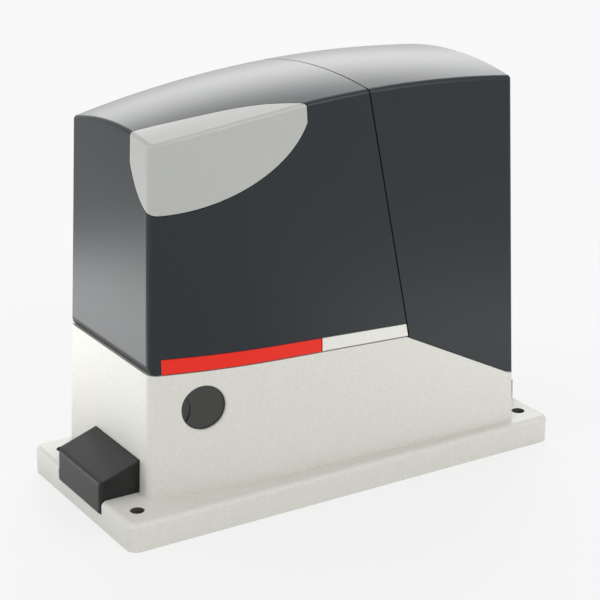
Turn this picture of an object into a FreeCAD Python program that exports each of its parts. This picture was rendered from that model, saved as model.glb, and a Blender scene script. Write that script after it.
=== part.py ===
import FreeCAD, Part
import math
import os

from FreeCAD import Matrix, Rotation, Vector

# Sliding gate motor: a cast base with a flange, two moulded covers, a worm gear
# motor with a rack pinion at the back, a key release and a control unit.
# Millimetres. X runs along the gate, -Y is the front, +Y the rack side, +Z is up.
# The origin is the centre of the flange's underside.

os.makedirs("parts", exist_ok=True)

# ---------------------------------------------------------------- base casting
flange_length = 330.0
flange_depth = 147.0
flange_height = 19.0
flange_corner = 7.0
flange_edge_radius = 3.5
floor_thickness = 8.0
relief_depth = 4.0
relief_rim = 12.0
relief_rib = 6.0
base_wall = 4.5
foot_fillet = 2.0

# ------------------------------------------------- plan of the body at its foot
body_left = -137.6
body_right = 138.6
body_back = 73.0
front_left = -44.9          # front face at the left end
front_bend = -58.7          # front face where its left-hand arc starts
front_right = -65.8         # front face at the right end
bend_x = -48.3
corner_front_left = 5.0
corner_sharp = 3.2          # the other three corners
draft_left = 0.042
draft_right = 0.034
draft_front = 0.025
draft_back = 0.025

# --------------------------------------------------------------- double crown
top_height = 273.5
top_apex_x = 58.0
top_arch_radius = 794.0
top_crown_radius = 290.0
top_crown_y = 2.0
top_edge_radius = 3.0

# --------------------------------------------------------------------- covers
cover_wall = 3.0
parting_left = 101.4        # parting height at the body's left end
parting_foot = 96.9         # and where the seam between the covers meets it
parting_right = 52.4        # and at the body's right end
parting_gap = 0.8
seam_gap = 0.9
seam_point = Vector(22.4, -55.4, 254.0)
seam_normal = Vector(1.0, 0.05, 0.18)
seam_foot_x = 49.3
lip_height = 5.0
lip_thickness = 2.0
lip_clearance = 0.3

# -------------------------------------------------------------- corner insert
insert_centre = Vector(-128.0, -47.0, 266.0)
insert_reach = Vector(108.0, 38.0, 62.0)
insert_edge = ((-150.0, -11.0), (-127.0, -15.5), (-96.9, -25.4), (-71.5, -32.5), (-49.1, -40.1),
               (-34.2, -48.0), (-20.0, -57.0), (-8.0, -66.0))
insert_gap = 0.5
insert_rim = 5.0
insert_rim_thickness = 1.6

# ------------------------------------------------------------------ trim strip
strip_left = -126.6
strip_split = -16.7         # right end of the red label
strip_break = 1.2           # dark gap between the label and the light trim
strip_bottom = 0.9          # above the parting line
strip_top_left = 111.7
strip_top_foot = 106.1
strip_thickness = 1.6
strip_gap = 0.4

# -------------------------------------------------------- anchors and levelling
anchor_x = 152.0
slot_width = 11.0
slot_length = 18.0
level_x = 151.0
level_y = 55.0
level_hole = 9.0
level_screw = 8.0
level_screw_length = 7.5
level_thread_top = 13.0
wedge_width = 64.0
wedge_back_height = 41.3
wedge_front_height = 31.5
wedge_overhang = 0.9
wedge_skirt = 10.2
wedge_wall = 2.2
wedge_radius = 3.0
wedge_clearance = 0.3

# ---------------------------------------------------------- output and release
axis_x = -55.0
axis_z = 77.7
shaft_radius = 8.5
bearing_outer = 20.0
bearing_width = 12.0
nose_radius = 22.0
nose_end = 88.0
seal_width = 6.0
pinion_module = 4.0
pinion_teeth = 15
pinion_width = 28.0
pinion_start = 93.0
pinion_hub_radius = 21.0
pinion_hub_length = 8.0
key_width = 5.0
key_height = 5.0
washer_radius = 14.0
washer_thickness = 3.0
pinion_screw_head = 6.5
pinion_screw_length = 22.0

lock_x = -99.9
lock_z = 76.0
lock_turn = -8.06           # the lock faces along the bent front face, degrees about Z
lock_radius = 15.0
lock_bevel = 0.7
lock_surface_y = -51.8      # front face at the lock's centre
lock_face_y = -49.35
shutter_thickness = 3.0
shutter_overlap = 1.6       # how far the shutter reaches behind the rim of the lock bore
shutter_travel = 26.0
shutter_play = 0.3
lock_boss_wall = 3.2
lock_plate_thickness = 4.0
lock_plate_inset = 2.0
thumb_dish_radius = 13.3
thumb_dish_offset = 21.5
thumb_dish_depth = 1.0
barrel_radius = 9.0
barrel_length = 17.7
barrel_setback = 1.8        # behind the plate's front, clear of the slanting shutter
barrel_clearance = 0.05
cam_radius = 13.0
cam_thickness = 3.0
cam_pin_radius = 1.5
cam_pin_circle = 11.0
cam_pin_height = 4.3
yoke_thickness = 2.6
yoke_arm = 2.0
yoke_arm_x = 14.5
yoke_hook = 2.5
yoke_bar_half = 6.0
groove_clearance = 0.2
clutch_hub_radius = 11.5
clutch_groove_radius = 9.9

# ---------------------------------------------------------------- worm gearing
wheel_module = 1.5
wheel_teeth = 30
wheel_width = 14.0
wheel_y = 8.0
worm_radius = 7.5
worm_turns = 4
gear_backlash = 0.5
running_clearance = 0.03
clutch_travel = 5.0
clutch_radius = 17.0
clutch_plate = 4.0
dog_height = 3.0
dog_radius = 2.5
dog_circle = 13.0

# ------------------------------------------------------------------- gearcase
case_front = -14.0
case_back = 34.0
case_wall = 3.5
case_top = 112.0
case_reach = 19.0            # from the worm axis to the gearcase's right side
case_lid = 3.0
motor_seat = 5.0
lid_screw = 1.5
motor_bolt = 1.8
motor_bolt_circle = 33.0
chamber_clearance = 1.0

# ---------------------------------------------------------------------- motor
motor_radius = 39.0
motor_height = 100.0
motor_wall = 2.5
motor_flange = 5.0
magnet_thickness = 6.0
air_gap = 0.8
rotor_height = 52.0
motor_shaft = 4.0
commutator_radius = 12.0
commutator_height = 14.0
end_bell_height = 14.0
end_bell_wall = 3.4
small_bearing_outer = 11.0
small_bearing_width = 7.0

# ---------------------------------------------------------------- electronics
core_length = 66.0
core_depth = 34.0
core_height = 56.0
core_x = 62.0
core_y = 4.0
coil_overhang = 12.0
post_radius = 5.0
post_height = 122.0
tray_x = (46.0, 120.0)
tray_y = (-48.0, 56.0)
tray_wall = 2.0
tray_height = 26.0
board_lift = 7.0
board_thickness = 1.6
button_travel = 0.5
grommet_x = 112.0
grommet_y = 20.0
grommet_hole = 12.0
grommet_bore = 8.0

# --------------------------------------------------------------- limit switch
limit_x = -4.0
limit_z = 84.0
limit_body = (44.0, 9.0, 26.0)
lever_length = 44.0
lever_radius = 1.8
lever_hub = 6.0

worm_x = axis_x + wheel_module * wheel_teeth / 2 + worm_radius
thread_pitch = math.pi * wheel_module
cover_screw_places = ((axis_x - 32.0, 107.0), (axis_x + 50.0, 107.0), (66.0, 98.0), (118.0, 70.0))
cover_screw_radius = 1.5
cover_screw_head = 3.5
cover_screw_seat = 1.0
tray_screw_inset = 8.0
tray_screw_radius = 1.6
shutter_back = lock_face_y + shutter_thickness
lock_plate_front = shutter_back + shutter_play


# ------------------------------------------------------------------ small tools
def box(x0, x1, y0, y1, z0, z1):
    return Part.makeBox(x1 - x0, y1 - y0, z1 - z0, Vector(x0, y0, z0))


def cyl_y(x, z, radius, y0, y1):
    return Part.makeCylinder(radius, y1 - y0, Vector(x, y0, z), Vector(0, 1, 0))


def cyl_z(x, y, radius, z0, z1):
    return Part.makeCylinder(radius, z1 - z0, Vector(x, y, z0))


def prism_y(points, y0, y1):
    """Extrude an outline given as (x, z) points from y0 to y1."""
    corners = [Vector(x, y0, z) for x, z in points]
    return Part.Face(Part.makePolygon(corners + corners[:1])).extrude(Vector(0, y1 - y0, 0))


def joined(shapes):
    first, rest = shapes[0], shapes[1:]
    return first.multiFuse(rest).removeSplitter() if rest else first


def rounded(shape, radius, wanted):
    """Fillet the edges whose midpoint and direction pass the test."""
    edges = []
    for edge in shape.Edges:
        middle = edge.valueAt((edge.FirstParameter + edge.LastParameter) / 2)
        along = edge.tangentAt((edge.FirstParameter + edge.LastParameter) / 2)
        if wanted(middle, along):
            edges.append(edge)
    return shape.makeFillet(radius, edges) if edges else shape


def bevelled(shape, size, wanted):
    """Chamfer the edges whose midpoint passes the test."""
    edges = [edge for edge in shape.Edges
             if wanted(edge.valueAt((edge.FirstParameter + edge.LastParameter) / 2))]
    return shape.makeChamfer(size, edges)


def write(shape, node):
    solids = shape.Solids
    print("%-22s solids %d  volume %10.1f  valid %s" % (
        node, len(solids), sum(s.Volume for s in solids), shape.isValid()))
    Part.makeCompound(solids).exportStep("parts/%s.step" % node)


# ---------------------------------------------------------- the body's envelope
def left_at(z, inset=0.0):
    return body_left + draft_left * (z - flange_height) + inset


def right_at(z, inset=0.0):
    return body_right - draft_right * (z - flange_height) - inset


def back_at(z, inset=0.0):
    return body_back - draft_back * (z - flange_height) - inset


def front_at(x, z, inset=0.0):
    """Front face: a straight stretch on the right, an arc falling back on the left."""
    slope = (front_right - front_bend) / (body_right - bend_x)
    y = front_bend + slope * (x - bend_x)
    if x < bend_x:
        fall = front_left - front_bend - slope * (body_left - bend_x)
        y += fall * ((x - bend_x) / (body_left - bend_x)) ** 2
    return y + draft_front * (z - flange_height) + inset


def plan(z, inset):
    soft, sharp = max(corner_front_left - inset, 1.0), max(corner_sharp - inset, 1.0)
    middle = 1 - math.sqrt(0.5)
    x0, x1, y1 = left_at(z, inset), right_at(z, inset), back_at(z, inset)

    def at(x, y):
        return Vector(x, y, z)

    def front(x):
        return at(x, front_at(x, z, inset))

    left_y, right_y = front_at(x0, z, inset), front_at(x1, z, inset)
    edges = [
        Part.Arc(front(x0 + soft), front((x0 + soft + bend_x) / 2), front(bend_x)).toShape(),
        Part.LineSegment(front(bend_x), front(x1 - sharp)).toShape(),
        Part.Arc(front(x1 - sharp), at(x1 - sharp * middle, right_y + sharp * middle),
                 at(x1, right_y + sharp)).toShape(),
        Part.LineSegment(at(x1, right_y + sharp), at(x1, y1 - sharp)).toShape(),
        Part.Arc(at(x1, y1 - sharp), at(x1 - sharp * middle, y1 - sharp * middle),
                 at(x1 - sharp, y1)).toShape(),
        Part.LineSegment(at(x1 - sharp, y1), at(x0 + sharp, y1)).toShape(),
        Part.Arc(at(x0 + sharp, y1), at(x0 + sharp * middle, y1 - sharp * middle),
                 at(x0, y1 - sharp)).toShape(),
        Part.LineSegment(at(x0, y1 - sharp), at(x0, left_y + soft)).toShape(),
        Part.Arc(at(x0, left_y + soft), at(x0 + soft * middle, left_y + soft * middle),
                 front(x0 + soft)).toShape(),
    ]
    return Part.Wire(edges)


def walls(inset, z0=2.0, z1=300.0):
    return Part.makeLoft([plan(z0, inset), plan(z1, inset)], True, True)


def crown(inset):
    """A solid whose top is arched along X and crowned across Y."""
    half = 110.0
    radius = top_crown_radius - inset
    height = top_height - inset

    def rim(y):
        return Vector(top_apex_x, y, height - radius + math.sqrt(radius ** 2 - (y - top_crown_y) ** 2))

    low = -60.0
    face = Part.Face(Part.Wire([
        Part.Arc(rim(-half), rim(top_crown_y), rim(half)).toShape(),
        Part.LineSegment(rim(half), Vector(top_apex_x, half, low)).toShape(),
        Part.LineSegment(Vector(top_apex_x, half, low), Vector(top_apex_x, -half, low)).toShape(),
        Part.LineSegment(Vector(top_apex_x, -half, low), rim(-half)).toShape(),
    ]))
    pivot = Vector(top_apex_x, 0, top_height - top_arch_radius)
    face.rotate(pivot, Vector(0, 1, 0), -17)
    return face.revolve(pivot, Vector(0, 1, 0), 34)


def envelope(inset):
    return walls(inset).common(crown(inset))


def parting_at(x):
    """Height of the line where the covers meet the base; it breaks at the seam's foot."""
    if x < seam_foot_x:
        return parting_foot + (parting_left - parting_foot) * (x - seam_foot_x) / (body_left - seam_foot_x)
    return parting_foot + (parting_right - parting_foot) * (x - seam_foot_x) / (body_right - seam_foot_x)


def below_parting(shift):
    """Everything under the parting line."""
    far = 200.0
    return prism_y([(-far, -20), (-far, parting_at(-far) + shift), (seam_foot_x, parting_foot + shift),
                    (far, parting_at(far) + shift), (far, -20)], -150, 150)


def right_of_seam(shift):
    block = box(0, 400, -400, 400, -500, 500)
    normal = Vector(seam_normal).normalize()
    block.Placement = FreeCAD.Placement(seam_point + normal * shift,
                                        Rotation(Vector(1, 0, 0), normal))
    return block


def corner_block(grow):
    """The ellipsoid that bounds the light corner insert, clipped along the insert's top edge."""
    matrix = Matrix()
    matrix.scale(insert_reach + Vector(grow, grow, grow))
    matrix.move(insert_centre)
    ball = Part.makeSphere(1.0).transformGeometry(matrix)
    edge = Part.BSplineCurve()
    edge.interpolate([Vector(x + grow / 3, y + grow, 100) for x, y in insert_edge])
    start, end = edge.StartPoint, edge.EndPoint
    front = -120.0
    face = Part.Face(Part.Wire([
        edge.toShape(), Part.LineSegment(end, Vector(end.x, front, 100)).toShape(),
        Part.LineSegment(Vector(end.x, front, 100), Vector(start.x, front, 100)).toShape(),
        Part.LineSegment(Vector(start.x, front, 100), start).toShape()]))
    return ball.common(face.extrude(Vector(0, 0, 220)))


def turned_lock(shape):
    """Turn a piece of the lock, built facing -Y, to face along the bent front face."""
    shape.rotate(Vector(lock_x, lock_face_y, lock_z), Vector(0, 0, 1), lock_turn)
    return shape


def gear(module, teeth, backlash, y0, y1, twist=0.0):
    """Toothed disc about the Y axis through the origin, with arc flanks."""
    pitch = module * teeth / 2
    tip, root = pitch + module, pitch - 1.25 * module
    base = pitch * math.cos(math.radians(20))
    half = math.pi / (2 * teeth) - backlash / (2 * pitch)

    def inv(radius):
        ratio = math.acos(min(base / radius, 1.0))
        return math.tan(ratio) - ratio

    def point(radius, angle, y):
        return Vector(radius * math.cos(angle), y, radius * math.sin(angle))

    def outline(y, turn):
        edges = []
        for k in range(teeth):
            middle = 2 * math.pi * k / teeth + turn
            nxt = middle + 2 * math.pi / teeth
            flank = [(r, half + inv(pitch) - inv(max(r, base))) for r in
                     (root, (root + tip) / 2, tip)]
            up = [point(r, middle - a, y) for r, a in flank]
            down = [point(r, middle + a, y) for r, a in reversed(flank)]
            edges.append(Part.Arc(*up).toShape())
            edges.append(Part.LineSegment(up[2], down[0]).toShape())
            edges.append(Part.Arc(*down).toShape())
            edges.append(Part.LineSegment(down[2], point(root, nxt - flank[0][1], y)).toShape())
        return Part.Wire(edges)

    if twist:
        return Part.makeLoft([outline(y0, -twist / 2), outline(y1, twist / 2)], True, True)
    return Part.Face(outline(y0, 0)).extrude(Vector(0, y1 - y0, 0))


def bearing(outer, bore, width):
    """Sealed ball bearing about +Z, its faces stepped back between the rings."""
    ring = (outer - bore) * 0.25
    body = Part.makeCylinder(outer, width).cut(Part.makeCylinder(bore, width))
    groove = Part.makeCylinder(outer - ring, 0.6).cut(Part.makeCylinder(bore + ring, 0.6))
    top = groove.copy()
    top.translate(Vector(0, 0, width - 0.6))
    return body.cut(groove).cut(top)


def along_y(shape, x, y, z):
    shape.rotate(Vector(0, 0, 0), Vector(1, 0, 0), -90)
    shape.translate(Vector(x, y, z))
    return shape


def screw(shank, length, head, head_height, socket):
    """Cap screw standing on z = 0 with its shank below and its head above."""
    body = Part.makeCylinder(shank, length, Vector(0, 0, -length)).fuse(
        Part.makeCylinder(head, head_height))
    hexagon = [Vector(socket * math.cos(math.pi * k / 3), socket * math.sin(math.pi * k / 3),
                      head_height * 0.45) for k in range(7)]
    return body.cut(Part.Face(Part.makePolygon(hexagon)).extrude(Vector(0, 0, head_height)))


# ------------------------------------------------------------------- the shells
outer = envelope(0.0)
outer = rounded(outer, top_edge_radius,
                lambda m, d: m.z > 200 and abs(d.z) < 0.6 and m.z < top_height - 0.5)
behind_wall = envelope(cover_wall)
behind_insert = envelope(cover_wall + insert_rim_thickness)
lip_outer = envelope(cover_wall + lip_clearance)
lip_inner = envelope(cover_wall + lip_clearance + lip_thickness)
behind_strip = envelope(strip_thickness)
strip_pocket = envelope(strip_thickness + strip_gap / 2)


def base_housing():
    half_l, half_d = flange_length / 2, flange_depth / 2
    flange = box(-half_l, half_l, -half_d, half_d, 0, flange_height)
    flange = rounded(flange, flange_corner, lambda m, d: abs(d.z) > 0.9)
    flange = rounded(flange, flange_edge_radius, lambda m, d: m.z > flange_height - 0.01)
    body = walls(0.0, flange_height - 3).common(below_parting(0))
    cast = flange.fuse(body)
    for side in (-1, 1):
        notch = (half_l - 2.6, half_l + 5)
        ends = sorted((side * notch[0], side * notch[1]))
        cast = cast.cut(box(ends[0], ends[1], -wedge_width / 2 - wedge_clearance,
                            wedge_width / 2 + wedge_clearance, wedge_skirt - 0.4, 40))
    cavity = walls(base_wall, floor_thickness).common(below_parting(30))
    cast = cast.cut(cavity)
    lip = lip_outer.cut(lip_inner).common(below_parting(lip_height)).cut(below_parting(-4))
    nose = cyl_y(axis_x, axis_z, nose_radius, body_back - 14, nose_end)
    pocket = lock_radius + shutter_overlap + shutter_play
    boss_half = pocket + lock_boss_wall
    boss = box(lock_x - boss_half, lock_x + boss_half + shutter_travel, -90, lock_plate_front,
               lock_z - boss_half, lock_z + boss_half)
    posts = [turned_lock(boss).common(walls(1.0, floor_thickness))]
    for x, y in tray_screw_places():
        posts.append(cyl_z(x, y, post_radius, floor_thickness - 1, post_height))
    for x, z in cover_screw_places:
        y = back_at(z, cover_wall + lip_clearance)
        posts.append(box(x - 6, x + 6, y - 8, y, z - 30, z + 6))
    cast = joined([cast, lip, nose] + posts)
    cuts = [cyl_y(axis_x, axis_z, bearing_outer, body_back - 20, body_back - 2 + bearing_width),
            cyl_y(axis_x, axis_z, shaft_radius + seal_width, body_back - 20, nose_end + 1),
            turned_lock(cyl_y(lock_x, lock_z, lock_radius, -80, lock_plate_front + 1)),
            turned_lock(Part.makeCone(lock_radius + lock_bevel + 3, lock_radius, lock_bevel + 3,
                                      Vector(lock_x, lock_surface_y - 3, lock_z), Vector(0, 1, 0))),
            turned_lock(box(lock_x - pocket, lock_x + pocket + shutter_travel, lock_face_y - shutter_play,
                            lock_plate_front, lock_z - pocket, lock_z + pocket)),
            cyl_z(grommet_x, grommet_y, grommet_hole, -1, floor_thickness + 1)]
    for sx in (-1, 1):
        slot = box(-(slot_length - slot_width) / 2, (slot_length - slot_width) / 2,
                   -slot_width / 2, slot_width / 2, -1, 60)
        for end in (-1, 1):
            slot = slot.fuse(cyl_z(end * (slot_length - slot_width) / 2, 0, slot_width / 2, -1, 60))
        slot.translate(Vector(sx * anchor_x, 0, 0))
        cuts.append(slot)
        for sy in (-1, 1):
            cuts.append(cyl_z(sx * level_x, sy * level_y, level_screw / 2 + 0.01, -1, 60))
            cuts.append(cyl_z(sx * level_x, sy * level_y, level_hole / 2, level_thread_top, 60))
    for x, z in cover_screw_places:
        cuts.append(cyl_y(x, z, cover_screw_radius + 0.01, 40, 90))
    for x, y in tray_screw_places():
        cuts.append(cyl_z(x, y, tray_screw_radius + 0.01, post_height - 12, post_height + 1))
    cells_x, cells_y = 6, 4
    step_x = (2 * 124.0 + relief_rib) / cells_x
    step_y = (flange_depth - 2 * relief_rim + relief_rib) / cells_y
    for i in range(cells_x):
        for j in range(cells_y):
            x, y = -124.0 + i * step_x, -half_d + relief_rim + j * step_y
            cell = box(x, x + step_x - relief_rib, y, y + step_y - relief_rib, -1, relief_depth)
            if not (x < grommet_x + grommet_hole + 3 and x + step_x > grommet_x - grommet_hole - 3
                    and y < grommet_y + grommet_hole + 3 and y + step_y > grommet_y - grommet_hole - 3):
                cuts.append(cell)
    return cast.cut(cuts)


def cover_shell():
    shell = outer.cut(behind_wall).cut(below_parting(parting_gap))
    for x, z in cover_screw_places:
        shell = shell.cut(cyl_y(x, z, cover_screw_radius + 0.6, 50, 90))
        shell = shell.cut(cyl_y(x, z, cover_screw_head + 0.4, back_at(z) - cover_screw_seat, 90))
    return shell


def left_cover(shell):
    cover = shell.cut(right_of_seam(-seam_gap / 2))
    pocket = outer.cut(strip_pocket).common(strip_prism(strip_left, seam_foot_x + 20, strip_gap))
    cover = cover.cut(pocket).cut(corner_block(insert_gap))
    tongue = lip_outer.cut(lip_inner).cut(below_parting(lip_height + 6))
    tongue = tongue.common(right_of_seam(-2)).cut(right_of_seam(6))
    root = behind_wall.cut(lip_inner).cut(below_parting(lip_height + 6))
    root = root.common(right_of_seam(-8)).cut(right_of_seam(-1))
    return joined([cover, root, tongue])


def right_cover(shell):
    return shell.common(right_of_seam(seam_gap / 2))


def corner_insert():
    plate = outer.cut(behind_insert).common(corner_block(0))
    rim = lip_outer.cut(behind_insert).common(corner_block(insert_rim))
    return joined([plate, rim])


def strip_prism(x0, x1, grow):
    """Band between the parting line and the strip's top edge, which falls a little faster."""
    def corner(x, base_left, base_foot, shift):
        part = (x - strip_left) / (seam_foot_x - strip_left)
        return (x, base_left + (base_foot - base_left) * part + shift)

    low_left = parting_at(strip_left) + strip_bottom
    low_foot = parting_foot + strip_bottom
    return prism_y([corner(x0 - grow, low_left, low_foot, -grow),
                    corner(x1 + grow, low_left, low_foot, -grow),
                    corner(x1 + grow, strip_top_left, strip_top_foot, grow),
                    corner(x0 - grow, strip_top_left, strip_top_foot, grow)], -90, 0)


def strip_piece(x0, x1, cut_at_seam):
    piece = outer.cut(behind_strip).common(strip_prism(x0, x1, 0))
    return piece.cut(right_of_seam(-seam_gap / 2 - 0.2)) if cut_at_seam else piece


def anchor_cover(side):
    """Sloped cap over an anchor nut, with a skirt down into the flange's end notch."""
    wall_at = left_at if side < 0 else (lambda z: -right_at(z))
    inner_low = wall_at(flange_height) - wedge_clearance
    inner_high = wall_at(wedge_back_height) - wedge_clearance
    tip = -flange_length / 2 - wedge_overhang
    outline = [(inner_low, flange_height), (inner_high, wedge_back_height),
               (tip + 0.8, wedge_front_height), (tip, wedge_skirt),
               (tip + 2.8, wedge_skirt), (tip + 2.8, flange_height)]
    solid = prism_y(outline, -wedge_width / 2, wedge_width / 2)
    solid = rounded(solid, wedge_radius, lambda m, d: m.x < tip + 2 and m.z > wedge_skirt + 4)
    hollow = [(inner_low - wedge_wall, flange_height - 1),
              (inner_high - wedge_wall, wedge_back_height - wedge_wall - 0.8),
              (tip + 3.4, wedge_front_height - wedge_wall), (tip + 2.8, flange_height - 1)]
    cap = solid.cut(prism_y(hollow, -wedge_width / 2 + wedge_wall, wedge_width / 2 - wedge_wall))
    return cap if side < 0 else cap.mirror(Vector(0, 0, 0), Vector(1, 0, 0))


def levelling_screws():
    grub = Part.makeCylinder(level_screw / 2, level_screw_length)
    hexagon = [Vector(2 * math.cos(math.pi * k / 3), 2 * math.sin(math.pi * k / 3),
                      level_screw_length - 4) for k in range(7)]
    grub = grub.cut(Part.Face(Part.makePolygon(hexagon)).extrude(Vector(0, 0, 5)))
    group = []
    for sx in (-1, 1):
        for sy in (-1, 1):
            copy = grub.copy()
            copy.translate(Vector(sx * level_x, sy * level_y, 0.5))
            group.append(copy)
    return Part.makeCompound(group)


def cover_screws():
    group = []
    for x, z in cover_screw_places:
        one = screw(cover_screw_radius, 9.0, cover_screw_head, 2.2, 1.5)
        one.rotate(Vector(0, 0, 0), Vector(1, 0, 0), -90)
        one.translate(Vector(x, back_at(z) - cover_screw_seat + 0.01, z))
        group.append(one)
    return Part.makeCompound(group)


# --------------------------------------------------------------- release group
barrel_start = lock_plate_front + barrel_setback
cam_back = barrel_start + barrel_length
cam_front = cam_back - cam_thickness
clutch_back = wheel_y - wheel_width / 2 - 0.3
clutch_front = clutch_back - clutch_plate
yoke_back = case_front - case_lid - 0.5
yoke_front = yoke_back - yoke_thickness
hub_front = yoke_front - groove_clearance - 2.5


def lock_shutter():
    """Round shutter with a thumb dish, sliding sideways behind the rim of the lock bore."""
    disc = cyl_y(lock_x, lock_z, lock_radius + shutter_overlap, lock_face_y, shutter_back)
    dish = cyl_y(lock_x - thumb_dish_offset, lock_z, thumb_dish_radius, lock_face_y - 1,
                 lock_face_y + thumb_dish_depth)
    return turned_lock(disc.cut(dish))


def lock_plate():
    """Fixed plate on the back of the lock boss that guides the shutter and the key barrel."""
    half = lock_radius + shutter_overlap + shutter_play + lock_boss_wall - lock_plate_inset
    back = lock_plate_front + lock_plate_thickness
    plate = turned_lock(box(lock_x - half, lock_x + half + shutter_travel, lock_plate_front, back,
                            lock_z - half, lock_z + half)).common(walls(base_wall, floor_thickness))
    return plate.cut(cyl_y(lock_x, lock_z, barrel_radius + barrel_clearance, -80, 0))


def release_barrel():
    """Key barrel with a cam disc whose two pins pull the yoke as it turns."""
    body = cyl_y(lock_x, lock_z, barrel_radius, barrel_start, cam_back)
    cam = cyl_y(lock_x, lock_z, cam_radius, cam_front, cam_back)
    pins = [cyl_y(lock_x, lock_z + side * cam_pin_circle, cam_pin_radius,
                  cam_front - cam_pin_height, cam_back) for side in (-1, 1)]
    slot = box(lock_x - 4.5, lock_x + 4.5, barrel_start - 1, barrel_start + 6, lock_z - 1.2, lock_z + 1.2)
    return joined([body, cam] + pins).cut(slot).cut(
        cyl_y(lock_x, lock_z, 2.4, barrel_start - 1, barrel_start + 7))


def release_yoke():
    """Bar between lock and clutch: a fork in the clutch's groove, two hooks over the cam disc."""
    reach = yoke_arm_x + yoke_arm
    bar = box(lock_x - reach, axis_x, yoke_front, yoke_back, lock_z - yoke_bar_half, lock_z + yoke_bar_half)
    ring = cyl_y(axis_x, axis_z, reach + 1.0, yoke_front, yoke_back)
    bore = clutch_groove_radius + 0.3
    opening = [cyl_y(axis_x, axis_z, bore, yoke_front - 1, yoke_back + 1),
               box(axis_x - bore, axis_x + bore, yoke_front - 1, yoke_back + 1, axis_z - 30, axis_z)]
    hook_back = cam_front - 0.5
    arms = []
    for side in (-1, 1):
        arm = sorted((lock_x + side * yoke_arm_x, lock_x + side * reach))
        hook = sorted((lock_x + side * 9.6, lock_x + side * reach))
        arms.append(box(arm[0], arm[1], hook_back - yoke_hook, yoke_back, lock_z - 2, lock_z + 2))
        arms.append(box(hook[0], hook[1], hook_back - yoke_hook, hook_back, lock_z - 2, lock_z + 2))
    return joined([bar, ring]).cut(opening).fuse(arms).removeSplitter()


def clutch_slider():
    """Dogged sleeve that locks the worm wheel to the output shaft."""
    plate = cyl_y(axis_x, axis_z, clutch_radius, clutch_front, clutch_back)
    hub = cyl_y(axis_x, axis_z, clutch_hub_radius, hub_front, clutch_front)
    groove = cyl_y(axis_x, axis_z, clutch_hub_radius + 1, yoke_front - groove_clearance,
                   yoke_back + groove_clearance)
    groove = groove.cut(cyl_y(axis_x, axis_z, clutch_groove_radius, hub_front, clutch_front))
    dogs = []
    for k in range(4):
        angle = math.pi / 2 * k
        dogs.append(cyl_y(axis_x + dog_circle * math.cos(angle), axis_z + dog_circle * math.sin(angle),
                          dog_radius, clutch_back - 1, clutch_back + dog_height))
    bore = cyl_y(axis_x, axis_z, shaft_radius + 0.05, hub_front - 1, clutch_back + 5)
    return joined([plate, hub.cut(groove)] + dogs).cut(bore)


# ---------------------------------------------------------------- output group
shaft_front = hub_front - clutch_travel - 2
shaft_end = pinion_start + pinion_width + pinion_hub_length - 1.0


def output_shaft():
    shaft = cyl_y(axis_x, axis_z, shaft_radius, shaft_front, shaft_end)
    collar = cyl_y(axis_x, axis_z, shaft_radius + 2.5, wheel_y + wheel_width / 2 + 0.3,
                   case_back - bearing_width - 0.3)
    seat = box(axis_x - key_width / 2, axis_x + key_width / 2,
               pinion_start + 1, pinion_start + pinion_width - 1, axis_z + shaft_radius - key_height / 2, axis_z + shaft_radius + 3)
    tapped = cyl_y(axis_x, axis_z, 3.0, shaft_end - pinion_screw_length, shaft_end + 1)
    body = bevelled(joined([shaft, collar]), 0.8,
                    lambda m: m.y > shaft_end - 0.01 or m.y < shaft_front + 0.01)
    return body.cut(seat).cut(tapped)


def worm_wheel():
    lead = math.atan(wheel_module / (2 * worm_radius))
    twist = -wheel_width * math.tan(lead) / (wheel_module * wheel_teeth / 2)
    wheel = gear(wheel_module, wheel_teeth, gear_backlash, -wheel_width / 2, wheel_width / 2, twist)
    wheel = wheel.cut(cyl_y(0, 0, shaft_radius + 0.02, -20, 20))
    for k in range(4):
        angle = math.pi / 2 * k
        wheel = wheel.cut(cyl_y(dog_circle * math.cos(angle), dog_circle * math.sin(angle),
                                dog_radius + 0.2, -wheel_width / 2 - 1, -wheel_width / 2 + dog_height + 0.6))
    wheel.translate(Vector(axis_x, wheel_y, axis_z))
    return wheel


def drive_pinion():
    teeth = gear(pinion_module, pinion_teeth, 0.1, 0, pinion_width)
    hub = cyl_y(0, 0, pinion_hub_radius, pinion_width, pinion_width + pinion_hub_length)
    hub = bevelled(hub, 1.0, lambda m: m.y > pinion_width + pinion_hub_length - 0.01)
    blank = joined([teeth, hub]).cut(cyl_y(0, 0, shaft_radius + 0.02, -1, 80))
    way = box(-key_width / 2, key_width / 2, -1, pinion_width + pinion_hub_length + 1,
              0, shaft_radius + key_height / 2 + 0.1)
    blank = blank.cut(way)
    blank.translate(Vector(axis_x, pinion_start, axis_z))
    return blank


def pinion_key():
    return box(axis_x - key_width / 2 + 0.02, axis_x + key_width / 2 - 0.02, pinion_start + 1.02,
               pinion_start + pinion_width - 1.02, axis_z + shaft_radius - key_height / 2 + 0.02,
               axis_z + shaft_radius + key_height / 2)


def pinion_washer():
    y0 = pinion_start + pinion_width + pinion_hub_length
    return cyl_y(axis_x, axis_z, washer_radius, y0, y0 + washer_thickness).cut(
        cyl_y(axis_x, axis_z, 3.2, y0 - 1, y0 + 10))


def pinion_screw():
    one = screw(2.95, pinion_screw_length - 6, 6.5, pinion_screw_head, 2.9)
    one.rotate(Vector(0, 0, 0), Vector(1, 0, 0), -90)
    one.translate(Vector(axis_x, pinion_start + pinion_width + pinion_hub_length + washer_thickness, axis_z))
    return one


def output_bearings():
    group = []
    for y in (case_back - bearing_width, body_back - 2):
        group.append(along_y(bearing(bearing_outer - 0.02, shaft_radius + running_clearance, bearing_width),
                             axis_x, y, axis_z))
    return Part.makeCompound(group)


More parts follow.
